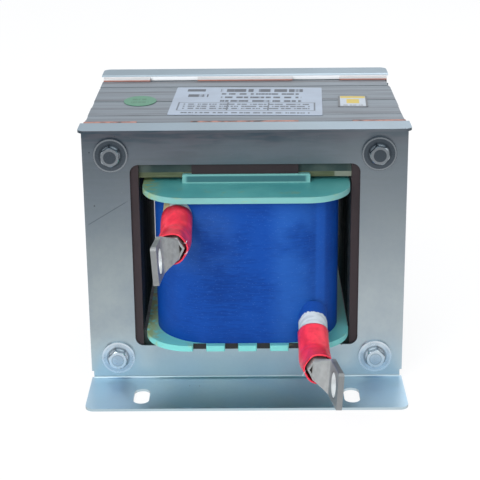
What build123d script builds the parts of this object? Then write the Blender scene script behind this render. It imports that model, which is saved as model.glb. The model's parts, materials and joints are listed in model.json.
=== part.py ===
from build123d import *
import os
from math import cos, pi, radians, sin, tan

# DC reactor: one coil on the centre leg of a gapped, laminated E and I core, clamped
# between two folded brackets. X is the width, -Y the front, +Z up. The origin is the
# centre of the footprint between the four slots, on the surface the feet stand on.

# ---------------------------------------------------------------- driving dimensions, mm
# laminated core
core_width = 180.0
leg_width = 30.0
centre_leg_width = 60.0
bottom_yoke_height = 30.0
core_window_height = 93.4
top_yoke_height = 27.8
core_bolt_bore = 9.0
# packets of laminations from front to rear: thickness, then what each one stands back
# at the left, at the right and at the top
core_packets = (
    (11.0, 0.0, 0.0, 0.0),
    (10.0, 0.2, 0.1, 0.2),
    (19.0, 0.0, 0.3, 0.1),
    (14.0, 0.3, 0.0, 0.2),
    (33.0, 0.1, 0.2, 0.0),
    (4.0, 0.4, 0.4, 0.3),
    (15.0, 0.0, 1.3, 0.1),
)

# air gap and insulating strips
gap_sheet_thickness = 3.0
strip_thickness = 3.5
strip_rise = 2.0
side_strip_inset = 0.4

# folded brackets
sheet = 1.5
bend_inner_radius = 1.5
bracket_overhang = 1.0
bracket_rise = 2.8
flange_reach = 18.0
foot_reach = 40.0
flange_corner_radius = 4.5
foot_corner_radius = 5.0
window_to_bolt = 10.3
window_bottom_z = 22.2
plate_top_band = 24.7
window_corner_radius = 5.0
relief_width = 1.2
relief_height = 4.5

# slots in the feet
slot_spacing_x = 120.0
slot_width = 9.0
slot_length = 18.5
slot_start = 15.0

# clamping hardware, M6
bolt_inset = 15.0
lower_bolt_z = 15.0
upper_bolt_drop = 16.1
bolt_diameter = 6.0
bolt_clearance_bore = 7.0
hex_across_flats = 10.0
bolt_head_height = 4.0
nut_height = 5.0
nut_bore = 6.1
hex_chamfer = 0.7
washer_diameter = 19.5
washer_thickness = 1.5
washer_bore = 6.4
spring_washer_diameter = 11.0
spring_washer_thickness = 1.6
spring_washer_slit = 1.0
bolt_end_beyond_nut = 4.0
bolt_end_chamfer = 0.8
sleeve_tube_diameter = 8.9
sleeve_tube_bore = 6.1
# turn of each bolt head about its axis, degrees: lower left, lower right, upper left, upper right
bolt_head_turns = (15.0, 47.0, 4.0, 18.0)

# bobbin of flat insulating boards
board_thickness = 3.4
tube_board_thickness = 3.0
board_leg_gap = 1.8
board_overhang = 3.5
board_corner_radius = 25.0
board_play_z = 2.4
tube_clearance = 1.0
tab_width = 72.0
tab_gap = 0.2
tab_corner_radius = 1.0
board_fit = 0.1
bobbin_play_x = 0.7
notch_count = 4
notch_pitch = 18.0
notch_width = 7.4
notch_corner_radius = 1.0

# winding and its outer wrap
coil_leg_gap = 7.5
coil_build_y = 23.5
coil_corner_radius = 33.0
wrap_thickness = 0.6
winding_bore_radius = 0.3

# leads: conductor, tape root, heat-shrink sleeve
conductor_diameter = 9.6
tape_diameter = 16.2
heat_shrink_diameter = 18.0
heat_shrink_wall = 0.9
lead_bend_radius = 10.0
root_length = 34.0
upper_lead_x = 37.7
upper_elbow_reach = 18.5
upper_elbow_drop = 16.0
lower_lead_x = 37.5
lower_elbow_reach = 22.2
lower_elbow_rise = 0.2

# cable lugs
barrel_across_flats = 12.0
barrel_wall = 1.1
barrel_length = 15.0
barrel_floor = 1.5
barrel_showing = 1.4
slope_length = 11.0
slope_rise = 5.6
palm_length = 25.0
palm_width = 20.0
palm_thickness = 3.0
palm_edge_radius = 0.5
palm_corner_radius = 2.0
palm_hole_diameter = 13.0
palm_hole_inset = 12.0
upper_lug_lean = 4.0
lower_lug_lean = 4.0

# labels on the top yoke
label_thickness = 0.25
label_width = 89.0
label_depth = 67.0
label_centre = (1.4, 0.0)
label_turn = -2.5
label_corner_radius = 1.0
oval_width = 19.4
oval_depth = 24.0
oval_centre = (-62.4, 1.6)
square_width = 17.6
square_depth = 26.4
square_centre = (64.0, -2.9)
square_turn = -3.0
square_corner_radius = 1.5

# ---------------------------------------------------------------- derived places
stack_depth = sum(packet[0] for packet in core_packets)
core_face_y = stack_depth / 2
plate_inner_y = core_face_y + strip_thickness
plate_outer_y = plate_inner_y + sheet
core_half = core_width / 2
bottom_yoke_top_z = bottom_yoke_height
leg_top_z = bottom_yoke_top_z + core_window_height
top_yoke_bottom_z = leg_top_z + gap_sheet_thickness
core_top_z = top_yoke_bottom_z + top_yoke_height
strip_top_z = core_top_z + strip_rise
bracket_width = core_width + 2 * bracket_overhang
bracket_height = core_top_z + bracket_rise
window_top_z = bracket_height - plate_top_band
window_side_x = core_half - leg_width
centre_leg_half = centre_leg_width / 2
lower_board_bottom_z = bottom_yoke_top_z
upper_board_top_z = leg_top_z - board_play_z
upper_board_bottom_z = upper_board_top_z - board_thickness
tab_top_z = top_yoke_bottom_z - tab_gap
lower_board_top_z = lower_board_bottom_z + board_thickness
tube_inner_x = centre_leg_half + tube_clearance
tube_outer_x = tube_inner_x + tube_board_thickness
tube_inner_y = core_face_y + tube_clearance
tube_outer_y = tube_inner_y + tube_board_thickness
coil_half_width = window_side_x - coil_leg_gap
coil_half_depth = tube_outer_y + coil_build_y
board_half_width = window_side_x - board_leg_gap
board_half_depth = coil_half_depth + board_overhang
bolt_x = core_half - bolt_inset
upper_bolt_z = core_top_z - upper_bolt_drop
window_width = 2 * (bolt_x - window_to_bolt)
bolt_places = [(side * bolt_x, z) for z in (lower_bolt_z, upper_bolt_z) for side in (-1, 1)]
lug_length = slope_length + palm_length

os.makedirs("parts", exist_ok=True)


# ---------------------------------------------------------------- small helpers
def block(x0, x1, y0, y1, z0, z1):
    """A box between two corners."""
    size = Box(x1 - x0, y1 - y0, z1 - z0, align=Align.MIN)
    return Pos(x0, y0, z0) * size


def rod(x, z, y0, y1, diameter):
    """A round bar along Y."""
    centre = Plane(origin=(x, y0, z), x_dir=(1, 0, 0), z_dir=(0, 1, 0))
    return extrude(centre * Circle(diameter / 2), y1 - y0)


def bolt_bores(y0, y1, diameter):
    """Four bars along Y at the bolt places, to cut with."""
    bars = [rod(x, z, y0, y1, diameter) for x, z in bolt_places]
    return bars[0] + bars[1:]


def rear_of(shape):
    """The same piece at the other end: turned half a turn about the vertical axis."""
    return Rot(0, 0, 180) * shape


def corners_near(face, points, tolerance=0.01):
    """The corners of a sketch that lie at the given points of its own plane."""
    found = []
    for vertex in face.vertices():
        if any(abs(vertex.X - px) + abs(vertex.Y - py) < tolerance for px, py in points):
            found.append(vertex)
    return found


# ---------------------------------------------------------------- laminated core
def packets(z0, z1, has_top):
    """A stack between two heights, packet by packet, each standing back by its own amounts."""
    slabs = []
    y = -core_face_y
    for thickness, left, right, top in core_packets:
        high = z1 - top if has_top else z1
        slabs.append(block(left - core_half, core_half - right, y, y + thickness, z0, high))
        y += thickness
    return slabs[0] + slabs[1:]


def e_core_stack():
    """Bottom yoke, two side legs and the centre leg, stacked from E-shaped sheets."""
    stack = packets(0, leg_top_z, has_top=False)
    for side in (-1, 1):
        inner, outer = sorted((side * centre_leg_half, side * window_side_x))
        stack -= block(inner, outer, -core_face_y, core_face_y, bottom_yoke_top_z, leg_top_z)
    return stack - bolt_bores(-core_face_y, core_face_y, core_bolt_bore)


def i_yoke_stack():
    """The straight yoke that closes the top, stacked from I-shaped sheets."""
    stack = packets(top_yoke_bottom_z, core_top_z, has_top=True)
    return stack - bolt_bores(-core_face_y, core_face_y, core_bolt_bore)


def gap_sheet():
    """The insulating sheet that sets the air gap, between all legs and the top yoke."""
    return block(-core_half, core_half, -core_face_y, core_face_y, leg_top_z, top_yoke_bottom_z)


# ---------------------------------------------------------------- insulating strips
def strip(end, x0, x1, z0, z1):
    """One strip between a core face and its bracket: end is -1 at the front, 1 at the rear."""
    y0, y1 = sorted((end * core_face_y, end * plate_inner_y))
    return block(x0, x1, y0, y1, z0, z1) - bolt_bores(y0, y1, core_bolt_bore)


side_strip_x = core_half - side_strip_inset
strip_places = {
    "left_strip": (-side_strip_x, -window_side_x, 0, strip_top_z),
    "right_strip": (window_side_x, side_strip_x, 0, strip_top_z),
    "top_centre_strip": (-centre_leg_half, centre_leg_half, top_yoke_bottom_z, strip_top_z),
    "bottom_centre_strip": (-centre_leg_half, centre_leg_half, 0, bottom_yoke_top_z),
}


# ---------------------------------------------------------------- folded bracket
def bracket_profile():
    """Section of the folded sheet in the YZ plane: foot, plate and top flange."""
    foot_end = -(plate_outer_y + foot_reach)
    flange_end = -(plate_outer_y + flange_reach)
    outer_corners = [(-plate_inner_y, 0), (-plate_inner_y, bracket_height)]
    inner_corners = [(-plate_outer_y, bracket_height - sheet), (-plate_outer_y, sheet)]
    outline = Polyline(
        (foot_end, 0),
        outer_corners[0],
        outer_corners[1],
        (flange_end, bracket_height),
        (flange_end, bracket_height - sheet),
        inner_corners[0],
        inner_corners[1],
        (foot_end, sheet),
        close=True,
    )
    face = make_face(outline)
    face = fillet(corners_near(face, outer_corners), bend_inner_radius + sheet)
    return fillet(corners_near(face, inner_corners), bend_inner_radius)


def free_corners(solid, y):
    """The upright edges at the two free corners of a flange that ends at y."""
    half = bracket_width / 2
    edges = solid.edges().filter_by(Axis.Z)
    return [e for e in edges if abs(abs(e.center().X) - half) < 0.01 and abs(e.center().Y - y) < 0.01]


def slot_cut(x):
    """A full-round slot through the foot, long across the plate."""
    length = slot_length - slot_width
    y0 = -(plate_outer_y + slot_start + slot_width / 2)
    mid = Plane(origin=(x, y0 - length / 2, -sheet), x_dir=(0, 1, 0), z_dir=(0, 0, 1))
    return extrude(mid * SlotCenterToCenter(length, slot_width), 3 * sheet)


def front_bracket():
    """The front bracket: one sheet, folded forward at the top and at the foot."""
    section = Plane(origin=(-bracket_width / 2, 0, 0), x_dir=(0, 1, 0), z_dir=(1, 0, 0))
    sheet_metal = extrude(section * bracket_profile(), bracket_width)
    window_height = window_top_z - window_bottom_z
    middle = Plane(
        origin=(0, -plate_outer_y - sheet, window_bottom_z + window_height / 2),
        x_dir=(1, 0, 0),
        z_dir=(0, 1, 0),
    )
    window = RectangleRounded(window_width, window_height, window_corner_radius)
    sheet_metal -= extrude(middle * window, 4 * sheet)
    sheet_metal -= bolt_bores(-plate_outer_y, -plate_inner_y, bolt_clearance_bore)
    for side in (-1, 1):
        sheet_metal -= slot_cut(side * slot_spacing_x / 2)
        x0, x1 = sorted((side * bracket_width / 2, side * (bracket_width / 2 - relief_width)))
        for z0 in (sheet, bracket_height - sheet - relief_height):
            y0 = -plate_outer_y - bend_inner_radius
            sheet_metal -= block(x0, x1, y0, -plate_inner_y, z0, z0 + relief_height)
    flange_edges = free_corners(sheet_metal, -(plate_outer_y + flange_reach))
    sheet_metal = fillet(flange_edges, flange_corner_radius)
    foot_edges = free_corners(sheet_metal, -(plate_outer_y + foot_reach))
    return fillet(foot_edges, foot_corner_radius)


# ---------------------------------------------------------------- bobbin
def board_outline(height):
    """A flange board's slab with large rounded corners, standing on z = 0."""
    shape = RectangleRounded(2 * board_half_width, 2 * board_half_depth, board_corner_radius)
    return extrude(shape, height)


def tube_opening(height):
    """The opening of a flange board round the four boards of the tube."""
    width = max(tab_width, 2 * tube_outer_x) + 2 * board_fit
    side_part = Rectangle(2 * (tube_outer_x + board_fit), 2 * tube_inner_y)
    end_part = Rectangle(width, tube_board_thickness + board_fit)
    reach = tube_outer_y + board_fit - (tube_board_thickness + board_fit) / 2
    shape = side_part + Pos(0, reach) * end_part + Pos(0, -reach) * end_part
    return extrude(shape, height)


def notch(index, end):
    """One of the notches in the front or rear edge of the lower flange board."""
    x = (index - (notch_count - 1) / 2) * notch_pitch
    y0, y1 = sorted((end * coil_half_depth, end * board_half_depth))
    return block(x - notch_width / 2, x + notch_width / 2, y0, y1, 0, board_thickness)


def lower_flange_board():
    """The lower flange board, castellated at the front and the rear."""
    board = board_outline(board_thickness) - tube_opening(board_thickness)
    for end in (-1, 1):
        for index in range(notch_count):
            board -= notch(index, end)
    straight_reach = board_half_width - board_corner_radius
    tips = [
        edge for edge in board.edges().filter_by(Axis.Z)
        if abs(abs(edge.center().Y) - board_half_depth) < 0.01
        and abs(edge.center().X) < straight_reach - 0.01
    ]
    board = fillet(tips, notch_corner_radius)
    return Pos(bobbin_play_x, 0, lower_board_bottom_z) * board


def upper_flange_board():
    """The upper flange board."""
    board = board_outline(board_thickness) - tube_opening(board_thickness)
    return Pos(bobbin_play_x, 0, upper_board_bottom_z) * board


def tube_front_board():
    """The board across the front of the bobbin tube; its top stands up as a tab."""
    height = tab_top_z - lower_board_bottom_z
    upright = Plane(
        origin=(bobbin_play_x, -tube_outer_y, lower_board_bottom_z + height / 2),
        x_dir=(1, 0, 0),
        z_dir=(0, 1, 0),
    )
    return extrude(upright * RectangleRounded(tab_width, height, tab_corner_radius), tube_board_thickness)


def tube_side_board(side):
    """The board beside the centre leg, between the front and rear boards."""
    x0, x1 = sorted((side * tube_inner_x, side * tube_outer_x))
    board = block(x0, x1, -tube_inner_y, tube_inner_y, lower_board_bottom_z, upper_board_top_z)
    return Pos(bobbin_play_x, 0, 0) * board


# ---------------------------------------------------------------- coil
def coil_form(inset):
    """The rounded block of the coil, set in by a distance, between the flange boards."""
    shape = RectangleRounded(
        2 * (coil_half_width - inset), 2 * (coil_half_depth - inset), coil_corner_radius - inset
    )
    height = upper_board_bottom_z - lower_board_top_z
    return Pos(bobbin_play_x, 0, lower_board_top_z) * extrude(shape, height)


def tube_form(radius):
    """The outside of the bobbin tube, which the winding is wound on."""
    shape = RectangleRounded(
        2 * max(tab_width / 2, tube_outer_x) + 2 * board_fit, 2 * (tube_outer_y + board_fit), radius
    )
    height = upper_board_bottom_z - lower_board_top_z
    return Pos(bobbin_play_x, 0, lower_board_top_z) * extrude(shape, height)


def winding():
    """The turns of copper strip, as one solid."""
    return coil_form(wrap_thickness) - tube_form(winding_bore_radius)


# ---------------------------------------------------------------- leads
def unit(x, y, z):
    """A direction of length one."""
    return Vector(x, y, z).normalized()


class Lead:
    """A lead: a short root out of the coil, one bend, and a straight run out to its lug.

    elbow is where the two runs would meet, out and along are their directions, sleeve_before
    and sleeve_after are how far the heat-shrink reaches to either side of the elbow. cut is
    the way its end faces. inward is the side that the palm faces, 1 or -1, and lean is the
    palm's turn about the lead, degrees.
    """

    def __init__(self, elbow, out, along, sleeve_before, sleeve_after, cut, inward, lean):
        self.out = unit(*out)
        self.along = unit(*along)
        self.elbow = Vector(*elbow)
        turn = radians(self.out.get_angle(self.along))
        tangent = lead_bend_radius * tan(turn / 2)
        self.root = self.elbow - self.out * root_length
        self.end = self.elbow + self.along * sleeve_after
        self.bend_start = Plane(origin=self.elbow - self.out * tangent, z_dir=self.out)
        self.sleeve_start = Plane(origin=self.elbow - self.out * sleeve_before, z_dir=self.out * -1)
        self.cut = Plane(origin=self.end, z_dir=unit(*cut))
        angle = radians(lean)
        facing = Vector(inward * cos(angle), 0, sin(angle))
        across = facing - self.along * facing.dot(self.along)
        mouth = self.end + self.along * barrel_showing
        self.lug_frame = Plane(origin=mouth, x_dir=across, z_dir=self.along)

    def bar(self, diameter, beyond):
        """A round bar along the lead, ending a distance beyond the sleeve's end."""
        last = self.end + self.along * beyond
        path = FilletPolyline(self.root, self.elbow, last, radius=lead_bend_radius)
        start = Plane(origin=self.root, z_dir=self.out)
        return sweep(start * Circle(diameter / 2), path)


upper_lead = Lead(
    elbow=(-upper_lead_x, -coil_half_depth - upper_elbow_reach, upper_board_bottom_z - upper_elbow_drop),
    out=(-0.02, -1.0, -0.36), along=(-0.05, -1.0, 0.115),
    sleeve_before=16.0, sleeve_after=17.2, cut=(-0.13, -1.0, 0.21), inward=1, lean=upper_lug_lean,
)
lower_lead = Lead(
    elbow=(lower_lead_x, -coil_half_depth - lower_elbow_reach, lower_board_top_z + lower_elbow_rise),
    out=(0.0, -1.0, -0.57), along=(0.115, -1.0, 0.12),
    sleeve_before=18.2, sleeve_after=17.6, cut=(0.20, -1.0, 0.21), inward=-1, lean=lower_lug_lean,
)


def beyond(plane):
    """A large block on the outer side of a plane, to cut an end with."""
    size = coil_half_depth
    return plane * (Pos(0, 0, size / 2) * Box(size, size, size))


def coil_and_boards():
    """The coil's block, through the flange boards: what the leads stop at."""
    shape = RectangleRounded(
        2 * (coil_half_width - wrap_thickness), 2 * (coil_half_depth - wrap_thickness),
        coil_corner_radius - wrap_thickness,
    )
    height = upper_board_top_z - lower_board_bottom_z
    return Pos(bobbin_play_x, 0, lower_board_bottom_z) * extrude(shape, height)


def conductor(lead):
    """The bunch of winding wire from the coil's face to the floor of the lug's barrel."""
    return lead.bar(conductor_diameter, barrel_showing - barrel_floor) - coil_and_boards()


def tape_root(lead):
    """The tape wound round the conductor up to the bend, pressed flat under the upper board."""
    over = Pos(bobbin_play_x, 0, upper_board_bottom_z) * board_outline(tape_diameter)
    wound = lead.bar(tape_diameter, 0.0) - beyond(lead.bend_start) - over
    return wound - lead.bar(conductor_diameter, 0.0) - coil_and_boards()


def heat_shrink(lead):
    """The sleeve from just outside the coil down to its slanting end."""
    spare = heat_shrink_diameter
    bore = heat_shrink_diameter - 2 * heat_shrink_wall
    sleeve = lead.bar(heat_shrink_diameter, spare) - lead.bar(bore, 2 * spare)
    return sleeve - beyond(lead.cut) - beyond(lead.sleeve_start)


def coil_wrap():
    """The film round the winding, pierced by the two leads."""
    film = coil_form(0.0) - coil_form(wrap_thickness)
    for lead in (upper_lead, lower_lead):
        film -= lead.bar(tape_diameter, 0.0)
    return film


def crimped_bar(across_flats, z0, z1):
    """A hexagonal bar along a lug's axis, with one corner towards the palm."""
    radius = across_flats / 2 / cos(pi / 6)
    return extrude(Plane(origin=(0, 0, z0)) * RegularPolygon(radius, 6), z1 - z0)


def lug(lead):
    """A tube lug: a crimped barrel, a slope pressed down from it and a flat palm.

    It is drawn in the lead's own frame: z runs along the lead from the barrel's open end, and
    x points away from the palm's back.
    """
    back = barrel_across_flats / 2
    corner = back / cos(pi / 6)
    inside = barrel_across_flats - 2 * barrel_wall
    slope_top = palm_thickness + slope_rise

    def section(thickness, width, z):
        """A flattened section of the tube, its back level with the barrel's flats."""
        centre = Plane(origin=(thickness / 2 - back, 0, z))
        return centre * RectangleRounded(thickness, width, palm_edge_radius)

    barrel = crimped_bar(barrel_across_flats, -barrel_length, 0)
    foot = section(palm_thickness, palm_width, slope_length)
    slope = loft([section(slope_top, barrel_across_flats, 0), foot])
    reach = lug_length + barrel_length + palm_width
    side = Plane(origin=(-2 * corner, 0, lug_length), x_dir=(0, 1, 0), z_dir=(1, 0, 0))
    outline = Pos(0, -reach / 2) * RectangleRounded(palm_width, reach, palm_corner_radius)
    body = (barrel + slope + extrude(foot, palm_length)) & extrude(side * outline, 4 * corner)
    hole = Pos(0, -palm_hole_inset) * Circle(palm_hole_diameter / 2)
    body -= extrude(side * hole, 4 * corner)
    body -= crimped_bar(inside, -barrel_length, -barrel_floor)
    mouth = block(slope_top - back, corner, -corner, corner, -barrel_floor, 0)
    return lead.lug_frame * (body - (crimped_bar(inside, -barrel_floor, 0) & mouth))


# ---------------------------------------------------------------- clamping hardware
def hexagon(height, turn):
    """A hexagonal block with one chamfered end, standing along +Y from y = 0."""
    radius = hex_across_flats / 2 / cos(pi / 6)
    base = Plane(origin=(0, 0, 0), x_dir=(0, 0, 1), z_dir=(0, 1, 0))
    prism = extrude(base * (Rot(0, 0, turn) * RegularPolygon(radius, 6)), height)
    drum = extrude(base * Circle(radius), height)
    far_rim = drum.edges().filter_by(GeomType.CIRCLE).sort_by(Axis.Y)[-1]
    return prism & chamfer(far_rim, hex_chamfer)


def clamp_bolts():
    """Four hexagon-head bolts, heads at the front."""
    head_y = -(plate_outer_y + washer_thickness)
    nut_end = plate_outer_y + washer_thickness + spring_washer_thickness + nut_height
    bolts = []
    for (x, z), turn in zip(bolt_places, bolt_head_turns):
        head = Pos(x, head_y, z) * (Rot(0, 0, 180) * hexagon(bolt_head_height, turn))
        shank = rod(x, z, head_y, nut_end + bolt_end_beyond_nut, bolt_diameter)
        tip = shank.edges().filter_by(GeomType.CIRCLE).sort_by(Axis.Y)[-1]
        bolts.append(head + chamfer(tip, bolt_end_chamfer))
    return bolts


def ring(x, z, y0, y1, diameter, bore):
    """A flat ring along Y."""
    return rod(x, z, y0, y1, diameter) - rod(x, z, y0, y1, bore)


def rings(y0, thickness, diameter, bore):
    """Four flat rings, one at each bolt."""
    return [ring(x, z, y0, y0 + thickness, diameter, bore) for x, z in bolt_places]


def spring_washers():
    """Four split spring washers behind the plain ones."""
    y0 = plate_outer_y + washer_thickness
    split = []
    for (x, z), one in zip(bolt_places, rings(y0, spring_washer_thickness, spring_washer_diameter, nut_bore)):
        gap = block(
            x - spring_washer_slit / 2, x + spring_washer_slit / 2,
            y0, y0 + spring_washer_thickness, z, z + spring_washer_diameter,
        )
        split.append(one - gap)
    return split


def clamp_nuts():
    """Four hexagon nuts at the rear."""
    y0 = plate_outer_y + washer_thickness + spring_washer_thickness
    nuts = []
    for (x, z), turn in zip(bolt_places, bolt_head_turns):
        body = Pos(x, y0, z) * hexagon(nut_height, -turn)
        nuts.append(body - rod(x, z, y0, y0 + nut_height, nut_bore))
    return nuts


# ---------------------------------------------------------------- labels
def sticker(outline, centre, turn):
    """A thin label on top of the upper yoke."""
    flat = Plane(origin=(centre[0], centre[1], core_top_z))
    return extrude(flat * (Rot(0, 0, turn) * outline), label_thickness)


# ---------------------------------------------------------------- all nodes
nodes = {
    "e_core_stack": e_core_stack(),
    "i_yoke_stack": i_yoke_stack(),
    "gap_sheet": gap_sheet(),
    "front_bracket": front_bracket(),
    "lower_flange_board": lower_flange_board(),
    "upper_flange_board": upper_flange_board(),
    "tube_front_board": tube_front_board(),
    "tube_left_board": tube_side_board(-1),
    "tube_right_board": tube_side_board(1),
    "winding": winding(),
    "coil_wrap": coil_wrap(),
    "upper_conductor": conductor(upper_lead),
    "lower_conductor": conductor(lower_lead),
    "upper_tape_root": tape_root(upper_lead),
    "lower_tape_root": tape_root(lower_lead),
    "upper_heat_shrink": heat_shrink(upper_lead),
    "lower_heat_shrink": heat_shrink(lower_lead),
    "upper_lug": lug(upper_lead),
    "lower_lug": lug(lower_lead),
    "rating_label": sticker(
        RectangleRounded(label_width, label_depth, label_corner_radius), label_centre, label_turn
    ),
    "oval_sticker": sticker(Ellipse(oval_width / 2, oval_depth / 2), oval_centre, 0.0),
    "square_sticker": sticker(
        RectangleRounded(square_width, square_depth, square_corner_radius), square_centre, square_turn
    ),
}
nodes["rear_bracket"] = rear_of(nodes["front_bracket"])
nodes["tube_rear_board"] = Pos(2 * bobbin_play_x, 0, 0) * rear_of(nodes["tube_front_board"])
for strip_name, place in strip_places.items():
    nodes["front_" + strip_name] = strip(-1, *place)
    nodes["rear_" + strip_name] = strip(1, *place)

groups = {
    "clamp_bolts": clamp_bolts(),
    "front_washers": rings(
        -plate_outer_y - washer_thickness, washer_thickness, washer_diameter, washer_bore
    ),
    "rear_washers": rings(plate_outer_y, washer_thickness, washer_diameter, washer_bore),
    "spring_washers": spring_washers(),
    "clamp_nuts": clamp_nuts(),
    "bolt_sleeves": rings(
        -plate_inner_y, 2 * plate_inner_y, sleeve_tube_diameter, sleeve_tube_bore
    ),
}
for name, pieces in groups.items():
    nodes[name] = Compound(children=[Solid(piece.solids()[0].wrapped) for piece in pieces])

for name, shape in nodes.items():
    shape.label = name
    export_step(shape, "parts/" + name + ".step")
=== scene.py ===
import json
from math import cos, exp, pi, radians, sin
from random import Random

import bmesh
import bpy
from bpy.props import FloatProperty, FloatVectorProperty, PointerProperty
from bpy.types import Operator, Panel, PropertyGroup
from mathutils import Euler, Matrix, Vector


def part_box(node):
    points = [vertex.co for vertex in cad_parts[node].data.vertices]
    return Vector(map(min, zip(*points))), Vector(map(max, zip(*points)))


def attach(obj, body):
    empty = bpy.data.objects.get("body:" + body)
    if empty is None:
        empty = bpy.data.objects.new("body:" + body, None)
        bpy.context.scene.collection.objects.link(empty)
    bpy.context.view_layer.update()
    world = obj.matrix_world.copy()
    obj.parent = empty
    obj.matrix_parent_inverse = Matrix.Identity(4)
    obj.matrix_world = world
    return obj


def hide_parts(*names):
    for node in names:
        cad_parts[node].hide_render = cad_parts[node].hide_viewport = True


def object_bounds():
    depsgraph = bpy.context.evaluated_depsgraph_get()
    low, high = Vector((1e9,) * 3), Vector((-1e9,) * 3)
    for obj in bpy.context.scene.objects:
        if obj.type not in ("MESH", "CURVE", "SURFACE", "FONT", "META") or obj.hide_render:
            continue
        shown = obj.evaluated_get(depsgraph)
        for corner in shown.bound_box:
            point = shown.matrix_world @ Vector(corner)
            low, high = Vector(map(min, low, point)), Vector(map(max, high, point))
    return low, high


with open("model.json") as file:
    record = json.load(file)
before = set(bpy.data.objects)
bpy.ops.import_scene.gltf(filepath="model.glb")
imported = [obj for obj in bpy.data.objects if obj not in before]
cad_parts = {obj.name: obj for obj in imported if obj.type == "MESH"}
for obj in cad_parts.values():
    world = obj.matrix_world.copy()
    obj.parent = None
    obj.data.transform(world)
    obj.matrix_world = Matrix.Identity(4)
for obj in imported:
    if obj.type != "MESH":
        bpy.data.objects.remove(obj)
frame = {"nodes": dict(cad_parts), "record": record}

bl_info = {
    "name": "DC Reactor Looks",
    "version": (1, 0, 0),
    "blender": (4, 5, 0),
    "location": "View3D > Sidebar > DC Reactor",
    "description": "Finishes and fine pieces of a clamped, laminated DC reactor",
    "category": "Object",
}

MM = 0.001
CAD_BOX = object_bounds()

# sizes of the fine pieces, in mm
WASHER_RADIUS = 9.75
SLEEVE_RADIUS, SLEEVE_WALL = 8.55, 0.85
SLEEVE_STEPS, SLEEVE_SIDES = 44, 60
# what a sleeve covers before and after its elbow
UPPER_SLEEVE, LOWER_SLEEVE = (16.0, 17.2), (18.2, 17.6)
ELBOW_REACH = 5.0
# from a lug's hole back to its barrel's mouth and off the palm to its middle; what shows of the barrel
MOUTH_BEHIND_HOLE, MOUTH_OFF_PALM = 24.0, 4.5
BARREL_SHOWING = 1.4
THREAD_PITCH, THREAD_CREST, THREAD_ROOT = 1.0, 3.14, 3.01
TAIL_RADIUS = 0.16


def in_mm(corners):
    """Both corners of a box in mm."""
    return [corner / MM for corner in corners]


def clamp(number, low=0.0, high=1.0):
    """A number held between two others."""
    return min(max(number, low), high)


def as_mesh(shape, name):
    """Turn a finished bmesh into a mesh."""
    mesh = bpy.data.meshes.new(name)
    shape.to_mesh(mesh)
    shape.free()
    return mesh


# ---------------- shader maths
def arithmetic(operation, swapped=False):
    """A method that adds one Math node."""

    def method(self, other=0.0):
        first, second = (other, self) if swapped else (self, other)
        return self.tree.node("ShaderNodeMath", {"operation": operation}, {0: first, 1: second})

    return method


class Value:
    """A number or vector that varies over a surface; arithmetic on it adds Math nodes."""

    def __init__(self, tree, socket):
        self.tree = tree
        self.socket = socket

    __add__, __radd__ = arithmetic("ADD"), arithmetic("ADD", swapped=True)
    __sub__, __rsub__ = arithmetic("SUBTRACT"), arithmetic("SUBTRACT", swapped=True)
    __mul__, __rmul__ = arithmetic("MULTIPLY"), arithmetic("MULTIPLY", swapped=True)
    __truediv__, __pow__ = arithmetic("DIVIDE"), arithmetic("POWER")
    __abs__ = arithmetic("ABSOLUTE")
    larger, smaller = arithmetic("MAXIMUM"), arithmetic("MINIMUM")

    def rise(self, start, stop):
        """0 up to start, 1 from stop on, smooth between them; start may be the larger."""
        inputs = {0: self, 1: start, 2: stop, 3: 0.0, 4: 1.0}
        if start > stop:
            inputs = {0: self, 1: stop, 2: start, 3: 1.0, 4: 0.0}
        return self.tree.node("ShaderNodeMapRange", {"interpolation_type": "SMOOTHSTEP"}, inputs)


class Tree:
    """A node tree, with one method that adds a node to it."""

    def __init__(self, owner):
        owner.use_nodes = True
        self.nodes = owner.node_tree.nodes
        self.links = owner.node_tree.links
        self.nodes.clear()

    def node(self, kind, settings=None, inputs=None, output=0):
        """Add a node: first its settings, then the values or links of its sockets."""
        made = self.nodes.new(kind)
        for key, setting in (settings or {}).items():
            setattr(made, key, setting)
        for key, given in (inputs or {}).items():
            self.join(given, made.inputs[key])
        return Value(self, made.outputs[output]) if made.outputs else None

    def join(self, given, socket):
        """Link a Value to a socket, or set the socket's own number or colour."""
        if isinstance(given, Value):
            self.links.new(given.socket, socket)
        elif socket.type == "RGBA":
            socket.default_value = (*given, 1.0)
        else:
            socket.default_value = given

    def blend(self, share, low, high):
        """From colour low to colour high by a share from 0 to 1."""
        settings = {"data_type": "RGBA", "clamp_factor": True}
        return self.node("ShaderNodeMix", settings, {0: share, 6: low, 7: high}, 2)


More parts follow.
